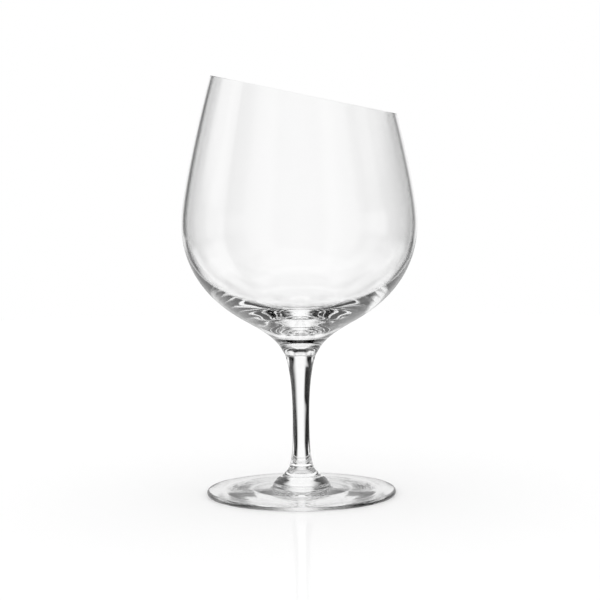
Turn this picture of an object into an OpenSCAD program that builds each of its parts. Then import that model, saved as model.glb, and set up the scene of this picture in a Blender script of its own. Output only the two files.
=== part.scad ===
// Stemmed gin glass: a blown balloon bowl with a slanted lip, a drawn stem and a round foot,
// fused end to end. Sizes are in millimetres. The origin is the middle of the standing plane.

/* [Bowl] */
// Outside diameter at the widest place
bowl_d = 108; // [96:1:120]
// Height of the widest place above the joint with the stem
belly_h = 60.5; // [52:0.5:70]
// Height of the lip plane above that joint, on the axis
lip_h = 119.5; // [108:0.5:132]
// Slant of the lip plane, in degrees
lip_slant = 12; // [0:1:18]
// Outside diameter of the mouth, at the high side of the lip
mouth_d = 80; // [68:1:92]
// Lean of the wall towards the axis at the high side of the lip, in degrees
lip_lean = 16; // [8:1:22]
// Diameter where the flared base turns into the balloon
shoulder_d = 50; // [40:1:60]
// Height of that turn above the joint with the stem
shoulder_h = 15.6; // [13:0.2:20]
// Slope of the wall at that turn, in degrees
shoulder_slope = 29; // [22:1:36]
// Slope of the flare where it leaves the joint, in degrees
flare_slope = 54; // [46:1:64]

/* [Bowl wall] */
// Thickness at the lip
lip_wall = 1.4; // [0.8:0.1:1.8]
// Thickness at the widest place
belly_wall = 1.7; // [1:0.1:2.4]
// Thickness at the turn of the flared base
shoulder_wall = 5.4; // [3:0.1:7]
// How fast the wall thins above that turn: 1 is even, and more is faster at first
wall_power = 3; // [1:0.5:5]
// Thickness of solid glass over the joint, on the axis
base_wall = 13; // [9:0.5:15]

/* [Stem] */
// Length between its two joints
stem_len = 52.7; // [40:0.1:70]
// Diameter at the waist
waist_d = 7.7; // [6:0.1:9]
// Height of the waist above the foot's joint
waist_h = 21.7; // [17:0.1:26]
// Diameter at the joint with the bowl
neck_d = 14.4; // [12.4:0.2:16.4]
// Slope of the outline at the joint with the bowl, in degrees
neck_slope = 72; // [66:1:80]
// Slope of the outline at the joint with the foot, in degrees
ankle_slope = 70; // [64:1:80]

/* [Foot] */
// Outside diameter
foot_d = 87.6; // [76:0.2:98]
// Thickness at its rounded edge
edge_t = 2.2; // [1.6:0.1:3]
// Diameter at the joint with the stem
ankle_d = 11.6; // [10.4:0.2:13.4]
// Height of the joint with the stem above the table
ankle_h = 12.3; // [11:0.1:14]
// Diameter of the domed crown under the stem
crown_d = 27; // [23:0.2:32]
// Height at which the crown rises from the disc
disc_h = 3.1; // [2.6:0.1:3.6]
// Radius of the fillet round the crown's foot
crown_fillet = 0.9; // [0.5:0.1:1.4]
// Diameter of the hollow between the crown's dome and the stem
throat_d = 17.2; // [15.6:0.2:19]
// Height of that hollow above the table
throat_h = 9.3; // [8.4:0.1:10]
// Inside diameter of the flat ring that the glass stands on
ring_d = 72; // [60:1:75]
// Depth of the hollow inside the standing ring
ring_hollow = 1.8; // [0.4:0.1:2]
// Diameter of the level middle of that hollow
hollow_d = 44; // [30:1:54]

/* [Hidden] */
$fn = 180;
glass_colour = [0.88, 0.93, 0.94, 0.4];
// Straight steps in each curve of an outline
curve_steps = 16;
// Steps in the foot's rounded edge
edge_steps = 8;
// How far the bowl's wall runs on past the lip, for the lip plane to cut
lip_over = 2;
// Slope of the dome where it meets the fillet, and of the hollow over it
dome_slope = 100;
throat_slope = 140;
// Height of the bowl's joint, and of the lip's highest place over that joint
bowl_z = ankle_h + stem_len;
lip_top_h = lip_h + mouth_d / 2 * tan(lip_slant);

// A step of a given length in the direction ang, measured up from the outward radius
function step(len, ang) = len * [cos(ang), sin(ang)];

// Points on a cubic curve from a to b. It leaves a in direction ang_a and comes to b in direction ang_b,
// and each pull says how long it keeps to that direction, as a share of the distance from a to b.
function curve(a, ang_a, pull_a, b, ang_b, pull_b) =
    let (d = norm(b - a), p = a + step(pull_a * d, ang_a), q = b - step(pull_b * d, ang_b))
    [for (i = [0:curve_steps]) let (t = i / curve_steps, u = 1 - t)
        u * u * u * a + 3 * u * u * t * p + 3 * u * t * t * q + t * t * t * b];

// A list without its first point, for joining curves that share an end
function tail(list) = [for (i = [1:len(list) - 1]) list[i]];

// A list from its last point to its first
function reversed(list) = [for (i = [len(list) - 1:-1:0]) list[i]];

// A value that eases from a to b while t goes from 0 to 1
function ease(a, b, t) = a + (b - a) * t * t * (3 - 2 * t);

// A value that goes from a to b while t goes from 0 to 1, fast at first
function thins(a, b, t) = b + (a - b) * pow(1 - t, wall_power);

// Direction of an outline at its point i, from the points on both sides
function heading(list, i) =
    let (d = list[min(i + 1, len(list) - 1)] - list[max(i - 1, 0)])
    d / norm(d);

// Outside of the bowl above the joint: the flare, the lower half of the balloon and the wall up to the lip
function flare() =
    curve([neck_d / 2, 0], flare_slope, 0.19, [shoulder_d / 2, shoulder_h], shoulder_slope, 0.76);
function balloon() =
    curve([shoulder_d / 2, shoulder_h], shoulder_slope, 0.53, [bowl_d / 2, belly_h], 90, 0.235);
function wall() =
    curve([bowl_d / 2, belly_h], 90, 0.21, [mouth_d / 2, lip_top_h], 90 + lip_lean, 0.2);

// Inside of the balloon and wall: the outside, moved in by a thickness that falls along it
function wall_at(i) =
    i < curve_steps ? thins(shoulder_wall, belly_wall, i / curve_steps)
                    : ease(belly_wall, lip_wall, (i - curve_steps) / curve_steps);
function inside(list) =
    [for (i = [0:len(list) - 1]) let (h = heading(list, i)) list[i] + wall_at(i) * [-h[1], h[0]]];

// Inside of the base: a shallow cup from the axis to where the moved outline begins
function cup(start, ang) = curve([0, base_wall], 0, 0.4, start, ang, 0.35);

// Half section of the whole bowl, with its wall running on past the lip
function bowl_section() =
    let (shell = concat(balloon(), tail(wall())),
         over = step(lip_over, 90 + lip_lean),
         top = shell[len(shell) - 1] + over,
         hollow = inside(concat(shell, [top])),
         rise = hollow[1] - hollow[0])
    concat([[0, 0]], flare(), tail(shell), [top], reversed(hollow),
           tail(reversed(cup(hollow[0], atan2(rise[1], rise[0])))));

// Half section of the stem, from the foot's joint to the bowl's joint
function stem_section() =
    concat([[0, 0]],
           curve([ankle_d / 2, 0], 180 - ankle_slope, 0.23, [waist_d / 2, waist_h], 90, 0.45),
           tail(curve([waist_d / 2, waist_h], 90, 0.45, [neck_d / 2, stem_len], neck_slope, 0.26)),
           [[0, stem_len]]);

// Half section of the foot: hollow underside, standing ring, round edge, disc, crown and throat
function underside() =
    concat([[0, ring_hollow]],
           [for (i = [0:curve_steps]) let (t = i / curve_steps)
               [hollow_d / 2 + t * (ring_d - hollow_d) / 2, ease(ring_hollow, 0, t)]]);
function edge() =
    [for (i = [0:edge_steps])
        [foot_d / 2 - edge_t / 2, edge_t / 2] + step(edge_t / 2, 180 * i / edge_steps - 90)];
function disc() =
    curve([foot_d / 2 - edge_t / 2, edge_t], 180, 0.3, [crown_d / 2 + crown_fillet, disc_h], 178, 0.3);
function fillet() =
    curve([crown_d / 2 + crown_fillet, disc_h], 178, 0.4,
          [crown_d / 2, disc_h + crown_fillet], dome_slope, 0.4);
function dome() =
    curve([crown_d / 2, disc_h + crown_fillet], dome_slope, 0.4,
          [throat_d / 2, throat_h], throat_slope, 0.4);
function throat() =
    curve([throat_d / 2, throat_h], throat_slope, 0.35,
          [ankle_d / 2, ankle_h], 180 - ankle_slope, 0.35);
function foot_section() =
    concat(underside(), edge(), tail(disc()), tail(fillet()), tail(dome()), tail(throat()), [[0, ankle_h]]);

// Everything above the lip plane, which falls towards +X
module above_lip() {
    reach = bowl_d + mouth_d;
    translate([0, 0, lip_h])
        rotate([0, lip_slant, 0])
            translate([-reach / 2, -reach / 2, 0])
                cube([reach, reach, reach]);
}

module bowl() {
    color(glass_colour)
        translate([0, 0, bowl_z])
            difference() {
                rotate_extrude()
                    polygon(bowl_section());
                above_lip();
            }
}

module stem() {
    color(glass_colour)
        translate([0, 0, ankle_h])
            rotate_extrude()
                polygon(stem_section());
}

module foot() {
    color(glass_colour)
        rotate_extrude()
            polygon(foot_section());
}

bowl();
stem();
foot();
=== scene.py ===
"""A stemmed gin glass with a slanted lip, in clear glass, and the white studio that it stands in.

Sizes are in metres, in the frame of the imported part: +Z up, the origin in the middle of the standing
plane, and the low side of the lip towards +X.
"""

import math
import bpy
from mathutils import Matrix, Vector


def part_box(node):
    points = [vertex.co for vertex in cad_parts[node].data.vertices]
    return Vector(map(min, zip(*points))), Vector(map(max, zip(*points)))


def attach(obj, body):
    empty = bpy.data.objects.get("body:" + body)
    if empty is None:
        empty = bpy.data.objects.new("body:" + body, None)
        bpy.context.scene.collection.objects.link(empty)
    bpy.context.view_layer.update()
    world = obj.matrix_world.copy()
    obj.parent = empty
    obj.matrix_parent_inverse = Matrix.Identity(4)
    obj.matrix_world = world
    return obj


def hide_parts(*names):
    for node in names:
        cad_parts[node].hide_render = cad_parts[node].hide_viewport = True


bl_info = {
    "name": "Slant-lipped gin glass",
    "version": (1, 0, 0),
    "blender": (4, 5, 0),
    "location": "3D View > Sidebar > Gin Glass",
    "description": "Builds a stemmed gin glass with a slanted lip and a white studio to stand it in",
    "category": "Add Mesh",
}

import bpy
import numpy as np

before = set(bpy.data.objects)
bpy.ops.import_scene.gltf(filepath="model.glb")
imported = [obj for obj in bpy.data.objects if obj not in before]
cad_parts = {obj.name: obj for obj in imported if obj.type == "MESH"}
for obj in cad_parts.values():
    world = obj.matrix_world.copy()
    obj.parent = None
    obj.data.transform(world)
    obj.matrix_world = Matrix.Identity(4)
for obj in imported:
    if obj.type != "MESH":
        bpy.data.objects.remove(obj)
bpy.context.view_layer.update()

BODY = "root"

# Outer radii and the heights of the fused joints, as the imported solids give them
(_, _, BOWL_BOTTOM), (BELLY_RADIUS, _, _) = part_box("bowl")
(_, _, STEM_BOTTOM), (NECK_RADIUS, _, STEM_TOP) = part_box("stem")
_, (FOOT_RADIUS, _, FOOT_TOP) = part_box("foot")

# Points round each ring, and rows along each stretch of a half section
RING_POINTS = 224
SEAM_ROWS = 5
FLARE_ROWS, BALLOON_ROWS, WALL_ROWS, LIP_ROWS, CUP_ROWS = 40, 72, 64, 5, 40
LOWER_STEM_ROWS, UPPER_STEM_ROWS = 60, 90
LEVEL_ROWS, HOLLOW_ROWS, RING_ROWS, EDGE_ROWS = 8, 160, 6, 20
DISC_ROWS, FILLET_ROWS, DOME_ROWS, THROAT_ROWS = 48, 12, 60, 40

# How long each cubic keeps to the angles of its two ends, as shares of the distance between them
FLARE_PULLS, BALLOON_PULLS = (0.19, 0.76), (0.53, 0.235)
WALL_PULLS, CUP_PULLS = (0.21, 0.2), (0.4, 0.35)
LOWER_STEM_PULLS, UPPER_STEM_PULLS = (0.23, 0.45), (0.45, 0.26)
DISC_PULLS, FILLET_PULLS = (0.3, 0.3), (0.4, 0.4)
DOME_PULLS, THROAT_PULLS = (0.4, 0.4), (0.35, 0.35)

# Directions in a half section, measured up from the outward radius
UP, INWARD = math.pi / 2, math.pi
DISC_SLOPE, DOME_SLOPE, THROAT_SLOPE = (math.radians(angle) for angle in (178, 100, 140))

# The stretch of the wall in which the lip plane is looked for, and how often it is halved
LIP_SEARCH = (0.4, 1.1)
LIP_HALVINGS = 40

# Ripples in a metre of each glass: the fine ones along X, Y and Z, and the slow ones
BLOWN_RIPPLES = ((220.0, 220.0, 6.0), 30.0)
DRAWN_RIPPLES = ((300.0, 300.0, 12.0), 60.0)
SPUN_RIPPLES = ((250.0, 250.0, 250.0), 50.0)
# Height of the slow ripples against the fine ones, and how far they deepen the tint
SLOW_HEIGHT = 2.0
SLOW_TINT = 0.5

# Sockets of a Mix node that mixes colours
MIX_FACTOR, MIX_A, MIX_B, MIX_RESULT = 0, 6, 7, 2

SENSOR_WIDTH = 36.0
FLOOR_SOFT = 0.001
CARD_BLACK = 0.002
FULL_TURN = 360.0
TO_DEGREES = 180.0 / math.pi

# Dark cards that the outside of the glass mirrors, in degrees seen from it. Each has the azimuth of its
# start, from +Y towards -X, and the softness of that edge, the same for its end, then its lower and upper
# height and their softness, and its shade. An edge under 0 or over 360 degrees is never seen.
MIRRORED_CARDS = (
    # For the bowl and the stem
    (23, 15, 56, 18, -9, 20, 4, 0.4),
    (102, 1.5, 136, 32, -9, 50, 4, 0.8),
    (103, 1.5, 150, 14, -9, 50, 4, 0.3),
    (215, 14, 262, 10, -9, 50, 4, 0.3),
    (248, 16, 300, 22, -9, 50, 4, 0.6),
    (262, 32, 338, 11, -9, 13, 4, 0.6),
    # For the disc of the foot
    (-9, 1, 14, 8, 5, 16, 4, 0.4),
    (346, 8, 369, 1, 5, 16, 4, 0.4),
)
# Dark cards that are seen through the bowl, the stem and the foot, which bend the view of them
BENT_CARDS = (
    (23, 15, 76, 6, -9, 14, 2.5, 1.0),
    (16, 4, 30, 6, -9, 6, 1.5, 0.9),
    (18, 6, 39, 1.5, 10, 23, 4, 1.0),
    (30, 4, 38, 2, 20, 28, 4, 1.0),
    (20, 5, 80, 5, 42, 64, 4, 1.0),
    (51, 1.5, 82, 3, 12, 26, 3, 0.75),
    (62, 6, 112, 8, 9, 40, 3, 0.45),
    (102, 8, 136, 32, -9, 50, 4, 0.7),
    (103, 1.5, 285, 20, -9, 50, 4, 0.1),
    (150, 10, 208, 6, -9, 50, 4, 0.4),
    (240, 5, 272, 6, 8, 28, 6, 0.4),
    (252, 30, 290, 20, 13, 50, 4, 0.2),
    (262, 32, 338, 11, -9, 13, 4, 1.0),
    (280, 5, 340, 5, 42, 64, 4, 1.0),
    (316, 6, 342, 6, 10, 28, 4, 1.0),
)
# The dark ceiling: the height where it starts, the softness of its edge, and its shade mirrored and bent
CEILING = (64, 4, 0.4, 0.97)
# Two small cards that hang level behind the foot, black underneath: name, height, and two corners
FOOT_CARDS = (
    ("left_card", 0.035, (-0.08, 0.045), (-0.031, 0.13)),
    ("right_card", 0.035, (0.030, 0.045), (0.08, 0.13)),
)


# Settings


def length(name, text, default):
    """A size in metres."""
    return bpy.props.FloatProperty(
        name=name, description=text, default=default, min=0.0, precision=5, unit="LENGTH",
        subtype="DISTANCE",
    )


def slope(name, text, degrees):
    """An angle, given in degrees."""
    return bpy.props.FloatProperty(
        name=name, description=text, default=math.radians(degrees), precision=3, subtype="ANGLE"
    )


def share(name, text, default):
    """A share of a whole, from 0 to 1."""
    return bpy.props.FloatProperty(
        name=name, description=text, default=default, min=0.0, max=1.0, precision=4, subtype="FACTOR"
    )


class BowlSizes(bpy.types.PropertyGroup):
    """Sizes of the blown bowl, measured from its joint with the stem."""

    belly_radius: length("Belly radius", "Outside radius at the widest place", BELLY_RADIUS)
    belly_height: length("Belly height", "Height of the widest place over the joint", 0.0605)
    lip_height: length("Lip height", "Height of the lip plane over the joint, on the axis", 0.1195)
    lip_slant: slope("Lip slant", "Fall of the lip plane towards +X", 12)
    mouth_radius: length("Mouth radius", "Outside radius of the mouth at the lip's high side", 0.040)
    lip_lean: slope("Lip lean", "Lean of the wall towards the axis at the lip's high side", 16)
    shoulder_radius: length("Shoulder radius", "Radius where the flare turns into the balloon", 0.025)
    shoulder_height: length("Shoulder height", "Height of that turn over the joint", 0.0156)
    shoulder_slope: slope("Shoulder slope", "Slope of the wall at that turn", 29)
    flare_slope: slope("Flare slope", "Slope of the flare where it leaves the joint", 54)
    lip_wall: length("Lip wall", "Thickness at the lip", 0.0014)
    lip_round: length("Lip round", "Reach of the softened edges of the cut lip", 0.0002)
    belly_wall: length("Belly wall", "Thickness at the widest place", 0.0017)
    shoulder_wall: length("Shoulder wall", "Thickness at the turn of the flare", 0.0054)
    base_wall: length("Base wall", "Thickness of solid glass over the joint", 0.013)
    wall_power: bpy.props.FloatProperty(
        name="Wall power", description="How fast the lower wall thins", default=3.0, min=1.0, max=6.0
    )


class StemSizes(bpy.types.PropertyGroup):
    """Sizes of the drawn stem, measured from its joint with the foot."""

    neck_radius: length("Neck radius", "Radius at the joint with the bowl", NECK_RADIUS)
    waist_radius: length("Waist radius", "Radius at the waist", 0.00385)
    waist_height: length("Waist height", "Height of the waist over the foot's joint", 0.0217)
    ankle_radius: length("Ankle radius", "Radius at the joint with the foot", 0.0058)
    neck_slope: slope("Neck slope", "Slope of the outline at the bowl's joint", 72)
    ankle_slope: slope("Ankle slope", "Slope of the outline at the foot's joint", 70)


class FootSizes(bpy.types.PropertyGroup):
    """Sizes of the round foot, measured from the standing plane."""

    radius: length("Foot radius", "Outside radius", FOOT_RADIUS)
    edge: length("Edge", "Thickness at the rounded edge", 0.0022)
    crown_radius: length("Crown radius", "Radius of the domed crown", 0.0135)
    disc_height: length("Disc height", "Height at which the crown rises from the disc", 0.0031)
    fillet: length("Fillet", "Radius of the fillet round the crown's foot", 0.0009)
    throat_radius: length("Throat radius", "Radius of the hollow between crown and stem", 0.0086)
    throat_height: length("Throat height", "Height of that hollow", 0.0093)
    ring_radius: length("Ring radius", "Inside radius of the standing ring", 0.036)
    hollow_radius: length("Hollow radius", "Radius of the level middle of the hollow underside", 0.022)
    hollow: length("Hollow", "Depth of the hollow inside the standing ring", 0.0018)
    wave: length("Wave", "Height of the rings that spinning left in the underside", 0.00001)
    wave_length: length("Wave length", "Distance between those rings", 0.0014)
    groove: length("Groove", "Depth of the two tooled rings in the crown", 0.0004)
    groove_width: length("Groove width", "Half the width of a tooled ring", 0.0003)
    lower_ring: length("Lower ring", "Height of the lower tooled ring", 0.0051)
    upper_ring: length("Upper ring", "Height of the upper tooled ring", 0.0087)


class GlassFinish(bpy.types.PropertyGroup):
    """Finish of the clear glass."""

    tint: bpy.props.FloatVectorProperty(
        name="Tint", description="Colour that the glass passes", size=3, subtype="COLOR", min=0.0, max=1.0,
        default=(0.998, 0.998, 0.998),
    )
    index: bpy.props.FloatProperty(
        name="Refractive index", description="How strongly the glass bends light", default=1.5,
        min=1.0, max=2.0,
    )
    ripple: length("Ripple", "Height of the faint ripples left by hot working", 0.000004)


class StudioSettings(bpy.types.PropertyGroup):
    """Camera, floor and light."""

    camera_distance: length("Camera distance", "Level distance from the camera to the axis", 0.9646)
    camera_height: length("Camera height", "Height of the camera over the standing plane", 0.1846)
    camera_pitch: slope("Camera pitch", "Angle by which the camera looks down", 5.6)
    camera_roll: slope("Camera roll", "Angle by which the camera leans", 0.49)
    lens: bpy.props.FloatProperty(
        name="Lens", description="Focal length", default=126.6, min=1.0, unit="CAMERA"
    )
    bounces: bpy.props.IntProperty(
        name="Bounces", description="How often a ray is followed on inside the glass", default=20, min=8
    )
    floor_radius: length("Floor radius", "Radius of the round white floor", 0.8)
    mirror_radius: length("Mirror radius", "How far out the floor mirrors what the foot bends", 0.045)
    white_radius: length("White radius", "How far out the floor under the stem stays white", 0.009)
    floor_gap: length("Floor gap", "Air between the floor and the standing ring", 0.00005)
    floor_white: share("Floor white", "Share of the floor's white that takes the shadow", 0.8)
    floor_lift: share("Floor lift", "White added to the floor seen straight, to hide far shadows", 0.07)
    floor_gloss: share("Floor gloss", "Share of the floor that mirrors, seen straight", 0.08)
    floor_mirror: share("Floor mirror", "Share of the floor that mirrors, seen through the glass", 1.0)


class GinGlassSettings(bpy.types.PropertyGroup):
    """All settings of the glass and its studio."""

    bowl: bpy.props.PointerProperty(type=BowlSizes)
    stem: bpy.props.PointerProperty(type=StemSizes)
    foot: bpy.props.PointerProperty(type=FootSizes)
    finish: bpy.props.PointerProperty(type=GlassFinish)
    studio: bpy.props.PointerProperty(type=StudioSettings)


# Curves and surfaces


def steps(rows):
    """Even steps from 0 to 1, without the 0."""
    return np.linspace(0, 1, rows + 1)[1:]


def move(distance, angle):
    """A move of a given distance in a half section, at an angle up from the outward radius."""
    return distance * np.array([math.cos(angle), math.sin(angle)])


def cubic(a, angle_a, b, angle_b, pulls):
    """The four control points of a cubic from a to b. It leaves a at angle_a and comes to b at angle_b,
    and each pull is the share of the distance from a to b for which it keeps to that angle."""
    a, b = np.array(a, float), np.array(b, float)
    reach = np.linalg.norm(b - a)
    return np.array([a, a + move(pulls[0] * reach, angle_a), b - move(pulls[1] * reach, angle_b), b])


def along(control, t):
    """Points of a cubic at the parameters t: the control points weighted by the Bernstein polynomials."""
    t = np.asarray(t, float)[..., None]
    u = 1 - t
    return (
        u**3 * control[0] + 3 * u**2 * t * control[1] + 3 * u * t**2 * control[2] + t**3 * control[3]
    )


def heading(control, t):
    """Unit tangent of a cubic at the parameters t, from the differences of its control points."""
    t = np.asarray(t, float)[..., None]
    u = 1 - t
    first, second, third = np.diff(control, axis=0)
    speed = u**2 * first + 2 * u * t * second + t**2 * third
    return speed / np.linalg.norm(speed, axis=-1, keepdims=True)


def bend(a, corner, b, t):
    """Points of a quadratic from a to b that leans to a corner: (1-t)^2 a + 2t(1-t) corner + t^2 b."""
    return (1 - t) ** 2 * a + 2 * t * (1 - t) * corner + t**2 * b


def ease(a, b, t):
    """A value that goes from a to b on the smooth step 3t^2 - 2t^3."""
    return a + (b - a) * t * t * (3 - 2 * t)


def thins(a, b, t, power):
    """A value that goes from a to b fast at first: b + (a - b)(1 - t)^power."""
    return b + (a - b) * (1 - t) ** power


def moved_in(control, t, thickness):
    """The cubic's points moved to the left of its heading by a thickness: the inside of a wall."""
    tangent = heading(control, t)
    left = np.stack([-tangent[..., 1], tangent[..., 0]], axis=-1)
    return along(control, t) + np.asarray(thickness)[..., None] * left


def spoke(low, high, rows):
    """Points in a straight line between two points of a section, without the first."""
    t = steps(rows)[:, None]
    return (1 - t) * np.array(low) + t * np.array(high)


def ring_angles():
    """Angles of the points round a ring, from +X."""
    return np.linspace(0, 2 * math.pi, RING_POINTS, endpoint=False)


def all_round(section):
    """The same half section at every angle round the axis."""
    return np.repeat(section[:, None, :], RING_POINTS, axis=1)


def spun(section):
    """The surface that a half section sweeps round the axis: (r, z) goes to (r cos a, r sin a, z).

    section has the shape (rows, 2), or (rows, ring points, 2) where it changes with the angle. It starts
    beside the axis, goes out along the underside and ends beside the axis again, and a point on the axis
    closes each end. Returns the points, the four-sided faces and the two fans of triangles."""
    if section.ndim == 2:
        section = all_round(section)
    rows = len(section)
    turn = ring_angles()
    grid = np.stack(
        [section[..., 0] * np.cos(turn), section[..., 0] * np.sin(turn), section[..., 1]], axis=-1
    )
    poles = np.array([[0, 0, section[0, :, 1].mean()], [0, 0, section[-1, :, 1].mean()]])
    points = np.concatenate([grid.reshape(-1, 3), poles])
    index = np.arange(rows * RING_POINTS).reshape(rows, RING_POINTS)
    ahead = np.roll(index, -1, axis=1)
    quads = np.stack([index[:-1], ahead[:-1], ahead[1:], index[1:]], axis=-1).reshape(-1, 4)
    low = np.full(RING_POINTS, rows * RING_POINTS)
    fans = [
        np.stack([low, ahead[0], index[0]], axis=-1),
        np.stack([low + 1, index[-1], ahead[-1]], axis=-1),
    ]
    return points, quads, fans


def add_piece(context, name, node, section, seams, material):
    """Makes one closed piece from its half section. seams gives how many rows at its start and end lie
    in a fused joint, where the glass runs on into the next piece."""
    points, quads, fans = spun(section)
    rows = len(section)
    first, last = seams
    row_of = np.arange(len(quads)) // RING_POINTS
    in_seam = np.concatenate([
        (row_of < first - 1) | (row_of >= rows - last),
        np.full(RING_POINTS, first > 0),
        np.full(RING_POINTS, last > 0),
    ])
    mesh = bpy.data.meshes.new(name)
    mesh.from_pydata(points.tolist(), [], quads.tolist() + fans[0].tolist() + fans[1].tolist())
    mesh.materials.append(material)
    mesh.materials.append(seam_material())
    mesh.polygons.foreach_set("material_index", in_seam.astype(np.int32))
    mesh.polygons.foreach_set("use_smooth", ~in_seam)
    mesh.update()
    if mesh.validate():
        raise RuntimeError(f"the mesh of {name} was not clean")
    piece = bpy.data.objects.new(name, mesh)
    context.collection.objects.link(piece)
    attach(piece, BODY)
    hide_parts(node)


# The three pieces


def bowl_section(sizes, neck_radius, joint_height):
    """Half section of the bowl at every angle round the axis.

    The outside is three cubics: flare, balloon and wall. The inside is the balloon and wall moved in by
    a thickness that falls along them, and a shallow cup over the base. At each angle the lip plane
    z = h - x tan(slant) cuts the wall, and a quadratic curve softens both edges of the cut."""
    fall = math.tan(sizes.lip_slant)
    shoulder = [sizes.shoulder_radius, sizes.shoulder_height]
    belly = [sizes.belly_radius, sizes.belly_height]
    lip_top = [sizes.mouth_radius, sizes.lip_height + sizes.mouth_radius * fall]
    flare = cubic([neck_radius, 0], sizes.flare_slope, shoulder, sizes.shoulder_slope, FLARE_PULLS)
    balloon = cubic(shoulder, sizes.shoulder_slope, belly, UP, BALLOON_PULLS)
    wall = cubic(belly, UP, lip_top, UP + sizes.lip_lean, WALL_PULLS)

    def outside(t):
        return along(wall, t)

    def inside(t):
        return moved_in(wall, t, ease(sizes.belly_wall, sizes.lip_wall, np.minimum(t, 1)))

    def under_lip(side, depth):
        """The parameter, at each angle, where a side of the wall is at a depth under the lip plane. The
        stretch that holds it is halved again and again."""
        low, high = (np.full(RING_POINTS, end) for end in LIP_SEARCH)
        for _ in range(LIP_HALVINGS):
            middle = (low + high) / 2
            point = side(middle)
            drop = point[:, 0] * np.cos(ring_angles()) * fall
            above = point[:, 1] + drop > sizes.lip_height - depth
            low, high = np.where(above, low, middle), np.where(above, middle, high)
        return low

    def up_to_lip(side):
        return side(steps(WALL_ROWS)[:, None] * under_lip(side, sizes.lip_round))

    outer, inner = up_to_lip(outside), up_to_lip(inside)
    outer_crest, inner_crest = outside(under_lip(outside, 0)), inside(under_lip(inside, 0))
    across = inner_crest - outer_crest
    across *= sizes.lip_round / np.linalg.norm(across, axis=-1, keepdims=True)
    turn = np.linspace(0, 1, LIP_ROWS + 1)[:, None, None]
    t = np.linspace(0, 1, BALLOON_ROWS + 1)
    thickness = thins(sizes.shoulder_wall, sizes.belly_wall, t, sizes.wall_power)
    inner_balloon = moved_in(balloon, t, thickness)
    rise = inner_balloon[1] - inner_balloon[0]
    cup = cubic([0, sizes.base_wall], 0, inner_balloon[0], math.atan2(rise[1], rise[0]), CUP_PULLS)
    section = np.concatenate([
        all_round(spoke([0, 0], [neck_radius, 0], SEAM_ROWS)),
        all_round(along(flare, steps(FLARE_ROWS))),
        all_round(along(balloon, steps(BALLOON_ROWS))),
        outer,
        bend(outer[-1], outer_crest, outer_crest + across, turn)[1:],
        bend(inner_crest - across, inner_crest, inner[-1], turn)[:-1],
        inner[::-1],
        all_round(inner_balloon[::-1]),
        all_round(along(cup, steps(CUP_ROWS)[:-1])[::-1]),
    ])
    return section + [0, joint_height]


def stem_section(sizes, joint_height, stem_length):
    """Half section of the stem: two cubics that meet upright at the waist, between two flat joints."""
    ankle, waist = [sizes.ankle_radius, 0], [sizes.waist_radius, sizes.waist_height]
    neck = [sizes.neck_radius, stem_length]
    lower = cubic(ankle, math.pi - sizes.ankle_slope, waist, UP, LOWER_STEM_PULLS)
    upper = cubic(waist, UP, neck, sizes.neck_slope, UPPER_STEM_PULLS)
    section = np.concatenate([
        spoke([0, 0], ankle, SEAM_ROWS),
        along(lower, steps(LOWER_STEM_ROWS)),
        along(upper, steps(UPPER_STEM_ROWS)),
        spoke(neck, [0, stem_length], SEAM_ROWS)[:-1],
    ])
    return section + [0, joint_height]


def foot_section(sizes, ankle_radius, ankle_slope, ankle_height):
    """Half section of the foot.

    The hollow underside has a level middle, and a smooth-step slope with the sine waves of spinning down
    to the flat standing ring. The edge is a half circle, and cubics make the disc, the fillet, the crown's
    dome and the throat up to the stem's joint. A bell curve cuts each tooled ring into the crown."""
    t = steps(HOLLOW_ROWS)
    reach = sizes.ring_radius - sizes.hollow_radius
    waves = sizes.wave * np.sin(2 * math.pi * t * reach / sizes.wave_length) * np.sin(math.pi * t)
    bank = np.stack([sizes.hollow_radius + t * reach, ease(sizes.hollow, 0, t) + waves], axis=-1)
    edge_r = sizes.edge / 2
    edge_middle = [sizes.radius - edge_r, edge_r]
    turn = np.linspace(-math.pi / 2, math.pi / 2, EDGE_ROWS + 1)[1:]
    edge = np.array(edge_middle) + edge_r * np.stack([np.cos(turn), np.sin(turn)], axis=-1)
    disc_end = [sizes.crown_radius + sizes.fillet, sizes.disc_height]
    crown = [sizes.crown_radius, sizes.disc_height + sizes.fillet]
    throat = [sizes.throat_radius, sizes.throat_height]
    ankle = [ankle_radius, ankle_height]
    disc = cubic([edge_middle[0], sizes.edge], INWARD, disc_end, DISC_SLOPE, DISC_PULLS)
    fillet = cubic(disc_end, DISC_SLOPE, crown, DOME_SLOPE, FILLET_PULLS)
    dome = cubic(crown, DOME_SLOPE, throat, THROAT_SLOPE, DOME_PULLS)
    neck = cubic(throat, THROAT_SLOPE, ankle, math.pi - ankle_slope, THROAT_PULLS)
    knob = np.concatenate([along(dome, steps(DOME_ROWS)), along(neck, steps(THROAT_ROWS))])
    for ring_height in (sizes.lower_ring, sizes.upper_ring):
        knob[:, 0] -= sizes.groove * np.exp(-(((knob[:, 1] - ring_height) / sizes.groove_width) ** 2))
    return np.concatenate([
        spoke([0, sizes.hollow], [sizes.hollow_radius, sizes.hollow], LEVEL_ROWS),
        bank,
        spoke([sizes.ring_radius, 0], [edge_middle[0], 0], RING_ROWS),
        edge,
        along(disc, steps(DISC_ROWS)),
        along(fillet, steps(FILLET_ROWS)),
        knob,
        spoke(ankle, [0, ankle_height], SEAM_ROWS)[:-1],
    ])


# Materials


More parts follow.
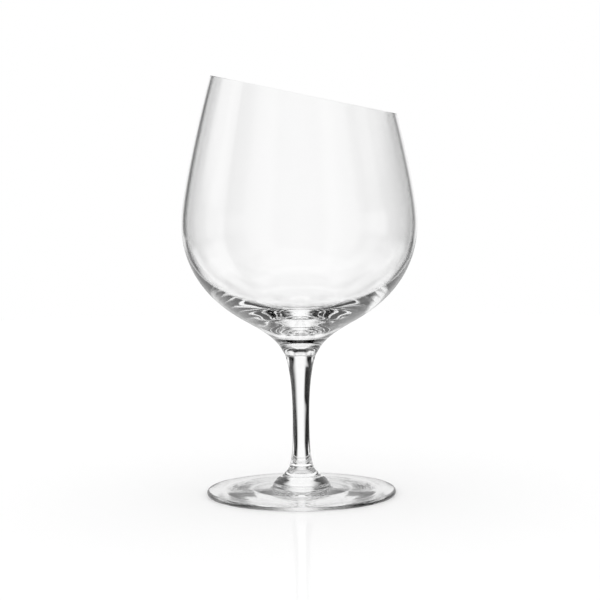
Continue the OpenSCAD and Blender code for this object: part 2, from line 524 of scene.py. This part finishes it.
class Value:
    """A shader socket that can be used in sums: each sign adds one Math node."""

    def __init__(self, nodes, socket):
        self.nodes, self.socket = nodes, socket

    def math(self, operation, *others):
        """A Math node with this socket first."""
        return self.nodes.add("ShaderNodeMath", {"operation": operation}, dict(enumerate((self, *others))))

    def __add__(self, other):
        return self.math("ADD", other)

    def __sub__(self, other):
        return self.math("SUBTRACT", other)

    def __rsub__(self, other):
        return self.nodes.add("ShaderNodeMath", {"operation": "SUBTRACT"}, {0: other, 1: self})

    def __mul__(self, other):
        return self.math("MULTIPLY", other)

    __radd__ = __add__
    __rmul__ = __mul__


class Nodes:
    """Builds a node tree from nothing."""

    def __init__(self, tree):
        self.tree = tree
        tree.nodes.clear()

    def add(self, kind, settings=None, sockets=None, out=0):
        """Adds a node: first its settings, then a number, colour or link for each of its sockets."""
        node = self.tree.nodes.new(kind)
        for name, setting in (settings or {}).items():
            setattr(node, name, setting)
        for name, value in (sockets or {}).items():
            if isinstance(value, Value):
                self.tree.links.new(value.socket, node.inputs[name])
            else:
                node.inputs[name].default_value = value
        return Value(self, node.outputs[out]) if len(node.outputs) else None

    def smooth(self, value, edge, soft):
        """A smooth step from 0 to 1, from soft before an edge to soft after it."""
        return self.add(
            "ShaderNodeMapRange", {"interpolation_type": "SMOOTHSTEP"},
            {"Value": value, "From Min": edge - soft, "From Max": edge + soft},
        )

    def parts(self, vector):
        """The x, y and z of a vector."""
        split = self.add("ShaderNodeSeparateXYZ", None, {"Vector": vector})
        return [Value(self, socket) for socket in split.socket.node.outputs]


def new_material(name):
    """An empty material and the builder of its nodes."""
    material = bpy.data.materials.new(name)
    material.use_nodes = True
    return material, Nodes(material.node_tree)


def seam_material():
    """The inside of a fused joint: nothing to see, because the glass runs on through it."""
    name = "fused_joint"
    if name in bpy.data.materials:
        return bpy.data.materials[name]
    material, nodes = new_material(name)
    clear = nodes.add("ShaderNodeBsdfPrincipled", None, {"Alpha": 0.0})
    nodes.add("ShaderNodeOutputMaterial", None, {"Surface": clear})
    return material


def glass_material(name, finish, ripples):
    """Clear glass with the faint ripples of hot working. ripples gives how many of them a metre has: fine
    ones along X, Y and Z, and slow, higher ones, which also deepen the tint a little where they rise."""
    material, nodes = new_material(name)
    fine_scale, slow_scale = ripples
    place = nodes.add("ShaderNodeTexCoord", None, None, "Object")
    stretched = nodes.add("ShaderNodeMapping", None, {"Vector": place, "Scale": fine_scale})
    fine = nodes.add("ShaderNodeTexNoise", None, {"Vector": stretched, "Scale": 1.0, "Detail": 2.0})
    slow = nodes.add("ShaderNodeTexNoise", None, {"Vector": place, "Scale": slow_scale, "Detail": 1.0})
    bumps = nodes.add(
        "ShaderNodeBump", None,
        {"Strength": 1.0, "Distance": finish.ripple, "Height": fine + slow * SLOW_HEIGHT},
    )
    deep = [channel * channel for channel in finish.tint]
    tint = nodes.add(
        "ShaderNodeMix", {"data_type": "RGBA"},
        {MIX_FACTOR: slow * SLOW_TINT, MIX_A: (*finish.tint, 1.0), MIX_B: (*deep, 1.0)}, MIX_RESULT,
    )
    glass = nodes.add(
        "ShaderNodeBsdfPrincipled", None,
        {
            "Base Color": tint, "Roughness": 0.0, "IOR": finish.index,
            "Transmission Weight": 1.0, "Normal": bumps,
        },
    )
    nodes.add("ShaderNodeOutputMaterial", None, {"Surface": glass})
    return material


# Studio


def ray_kinds(nodes):
    """Shares of a ray that come straight from the camera, from a mirror and through glass."""
    outputs = nodes.add("ShaderNodeLightPath").socket.node.outputs
    straight, glossy, through = (
        Value(nodes, outputs[f"Is {kind} Ray"]) for kind in ("Camera", "Glossy", "Transmission")
    )
    return straight, glossy * (1.0 - through), through


def floor_material(studio):
    """White glossy floor: one share takes the light and the shadow and the rest shows as plain white. What
    the glass mirrors and bends sees plain white right under the stem, a mirror under the rest of the foot,
    and the open studio further out."""
    material, nodes = new_material("white_floor")
    straight, mirrored, through = ray_kinds(nodes)
    bent = mirrored + through
    x, y, _ = nodes.parts(nodes.add("ShaderNodeTexCoord", None, None, "Object"))
    out = (x * x + y * y).math("SQRT")
    far = nodes.smooth(out, studio.mirror_radius, FLOOR_SOFT)
    under = 1.0 - nodes.smooth(out, studio.white_radius, FLOOR_SOFT)
    plain = 1.0 - studio.floor_white
    glow = straight * (plain + studio.floor_lift) + bent * plain + bent * under * studio.floor_white
    white = nodes.add(
        "ShaderNodeBsdfPrincipled", None,
        {
            "Base Color": (studio.floor_white,) * 3 + (1.0,), "Roughness": 1.0, "Specular IOR Level": 0.0,
            "Emission Color": glow, "Emission Strength": 1.0,
        },
    )
    mirror = nodes.add("ShaderNodeBsdfGlossy", None, {"Color": (1.0,) * 4, "Roughness": 0.05})
    gloss = bent * (1.0 - under) * (studio.floor_mirror - studio.floor_gloss) + studio.floor_gloss
    surface = nodes.add("ShaderNodeMixShader", None, {0: gloss, 1: white, 2: mirror})
    clear = nodes.add("ShaderNodeBsdfTransparent")
    surface = nodes.add("ShaderNodeMixShader", None, {0: bent * far, 1: surface, 2: clear})
    nodes.add("ShaderNodeOutputMaterial", None, {"Surface": surface})
    return material


def add_floor(context, studio):
    """A round white floor, just under the standing ring."""
    turn = ring_angles()
    rim = studio.floor_radius * np.stack([np.cos(turn), np.sin(turn), 0 * turn], axis=-1)
    rim[:, 2] = -studio.floor_gap
    mesh = bpy.data.meshes.new("floor")
    mesh.from_pydata(rim.tolist(), [], [list(range(RING_POINTS))])
    mesh.materials.append(floor_material(studio))
    floor = bpy.data.objects.new("floor", mesh)
    context.collection.objects.link(floor)


def add_card(context, name, height, near, far):
    """A small level card between two corners. Only what the glass bends upwards sees its black underside."""
    material, nodes = new_material(name)
    black = nodes.add(
        "ShaderNodeBsdfPrincipled", None,
        {"Base Color": (CARD_BLACK,) * 3 + (1.0,), "Roughness": 1.0, "Specular IOR Level": 0.0},
    )
    clear = nodes.add("ShaderNodeBsdfTransparent")
    top = nodes.add("ShaderNodeNewGeometry", None, None, "Backfacing")
    surface = nodes.add("ShaderNodeMixShader", None, {0: top, 1: black, 2: clear})
    nodes.add("ShaderNodeOutputMaterial", None, {"Surface": surface})
    mesh = bpy.data.meshes.new(name)
    corners = [near, (near[0], far[1]), far, (far[0], near[1])]
    mesh.from_pydata([(*corner, height) for corner in corners], [], [(0, 1, 2, 3)])
    mesh.materials.append(material)
    card = bpy.data.objects.new(name, mesh)
    card.visible_camera = card.visible_diffuse = card.visible_glossy = card.visible_shadow = False
    context.collection.objects.link(card)


def shade_of(cards, nodes, turn, rise):
    """The summed shade of some cards: each is its shade times a smooth step at each of its four edges."""
    dark = 0.0
    for start, start_soft, end, end_soft, low, high, soft, shade in cards:
        card = nodes.smooth(turn, start, start_soft)
        card = card * (1.0 - nodes.smooth(turn, end, end_soft))
        card = card * nodes.smooth(rise, low, soft)
        card = card * (1.0 - nodes.smooth(rise, high, soft))
        dark = card * shade + dark
    return dark


def studio_world(scene):
    """White all round for the camera and the floor. Glass and mirrors also see the dark cards that stand
    round it, alike above and below the level, and the dark ceiling, all with soft edges."""
    world = bpy.data.worlds.new("white_studio")
    world.use_nodes = True
    scene.world = world
    nodes = Nodes(world.node_tree)
    x, y, z = nodes.parts(nodes.add("ShaderNodeTexCoord", None, None, "Generated"))
    turn = (x * -1.0).math("ARCTAN2", y) * TO_DEGREES
    turn = turn + turn.math("LESS_THAN", 0.0) * FULL_TURN
    rise = z.math("ABSOLUTE").math("ARCSINE") * TO_DEGREES
    start, soft, mirrored_shade, bent_shade = CEILING
    ceiling = nodes.smooth(rise, start, soft) * z.math("GREATER_THAN", 0.0)
    _, mirrored, through = ray_kinds(nodes)
    dark = mirrored * (shade_of(MIRRORED_CARDS, nodes, turn, rise) + ceiling * mirrored_shade)
    dark = through * (shade_of(BENT_CARDS, nodes, turn, rise) + ceiling * bent_shade) + dark
    light = 1.0 - dark.math("MINIMUM", 1.0)
    glow = nodes.add("ShaderNodeBackground", None, {"Color": light, "Strength": 1.0})
    nodes.add("ShaderNodeOutputWorld", None, {"Surface": glow})


def add_camera(context, studio):
    """The camera, in front of the glass and looking slightly down at it."""
    lens = bpy.data.cameras.new("camera")
    lens.lens, lens.sensor_width = studio.lens, SENSOR_WIDTH
    camera = bpy.data.objects.new("camera", lens)
    camera.location = (0.0, -studio.camera_distance, studio.camera_height)
    camera.rotation_mode = "ZYX"
    camera.rotation_euler = (math.pi / 2 - studio.camera_pitch, 0.0, 0.0)
    camera.rotation_euler.rotate_axis("Z", -studio.camera_roll)
    context.collection.objects.link(camera)
    context.scene.camera = camera


# Operators


class GINGLASS_OT_studio(bpy.types.Operator):
    """Sets up the white floor, the light round it and the camera."""

    bl_idname = "gin_glass.studio"
    bl_label = "Studio"

    def execute(self, context):
        scene = context.scene
        studio = scene.gin_glass.studio
        scene.view_settings.view_transform = "Standard"
        scene.cycles.max_bounces = studio.bounces
        scene.cycles.transmission_bounces = studio.bounces
        scene.cycles.glossy_bounces = studio.bounces
        studio_world(scene)
        add_floor(context, studio)
        for card in FOOT_CARDS:
            add_card(context, *card)
        add_camera(context, studio)
        return {"FINISHED"}


class GINGLASS_OT_bowl(bpy.types.Operator):
    """Makes the blown bowl, with its thick base, its thin wall and the softened edges of its slanted lip."""

    bl_idname = "gin_glass.bowl"
    bl_label = "Bowl"

    def execute(self, context):
        settings = context.scene.gin_glass
        section = bowl_section(settings.bowl, settings.stem.neck_radius, BOWL_BOTTOM)
        material = glass_material("blown_glass", settings.finish, BLOWN_RIPPLES)
        add_piece(context, "blown_bowl", "bowl", section, (SEAM_ROWS, 0), material)
        return {"FINISHED"}


class GINGLASS_OT_stem(bpy.types.Operator):
    """Makes the drawn stem, waisted between its two fused joints."""

    bl_idname = "gin_glass.stem"
    bl_label = "Stem"

    def execute(self, context):
        settings = context.scene.gin_glass
        section = stem_section(settings.stem, STEM_BOTTOM, STEM_TOP - STEM_BOTTOM)
        material = glass_material("drawn_glass", settings.finish, DRAWN_RIPPLES)
        add_piece(context, "drawn_stem", "stem", section, (SEAM_ROWS, SEAM_ROWS), material)
        return {"FINISHED"}


class GINGLASS_OT_foot(bpy.types.Operator):
    """Makes the round foot, with its ringed crown, rounded edge and hollow underside."""

    bl_idname = "gin_glass.foot"
    bl_label = "Foot"

    def execute(self, context):
        settings = context.scene.gin_glass
        stem = settings.stem
        section = foot_section(settings.foot, stem.ankle_radius, stem.ankle_slope, FOOT_TOP)
        material = glass_material("spun_glass", settings.finish, SPUN_RIPPLES)
        add_piece(context, "spun_foot", "foot", section, (0, SEAM_ROWS), material)
        return {"FINISHED"}


class VIEW3D_PT_gin_glass(bpy.types.Panel):
    """Lists the pieces of the glass, their sizes and the studio."""

    bl_label = "Gin Glass"
    bl_space_type = "VIEW_3D"
    bl_region_type = "UI"
    bl_category = "Gin Glass"

    def draw(self, context):
        settings = context.scene.gin_glass
        for operator, group in (
            ("gin_glass.studio", settings.studio), ("gin_glass.bowl", settings.bowl),
            ("gin_glass.stem", settings.stem), ("gin_glass.foot", settings.foot),
        ):
            box = self.layout.box()
            box.operator(operator)
            for name in group.__annotations__:
                box.prop(group, name)
        box = self.layout.box()
        for name in settings.finish.__annotations__:
            box.prop(settings.finish, name)


CLASSES = (
    BowlSizes, StemSizes, FootSizes, GlassFinish, StudioSettings, GinGlassSettings,
    GINGLASS_OT_studio, GINGLASS_OT_bowl, GINGLASS_OT_stem, GINGLASS_OT_foot, VIEW3D_PT_gin_glass,
)


def register():
    for item in CLASSES:
        bpy.utils.register_class(item)
    bpy.types.Scene.gin_glass = bpy.props.PointerProperty(type=GinGlassSettings)


def unregister():
    del bpy.types.Scene.gin_glass
    for item in reversed(CLASSES):
        bpy.utils.unregister_class(item)


def main():
    """Builds the studio and the three pieces."""
    register()
    bpy.ops.gin_glass.studio()
    bpy.ops.gin_glass.bowl()
    bpy.ops.gin_glass.stem()
    bpy.ops.gin_glass.foot()
    bpy.context.view_layer.update()


if __name__ == "__main__":
    main()
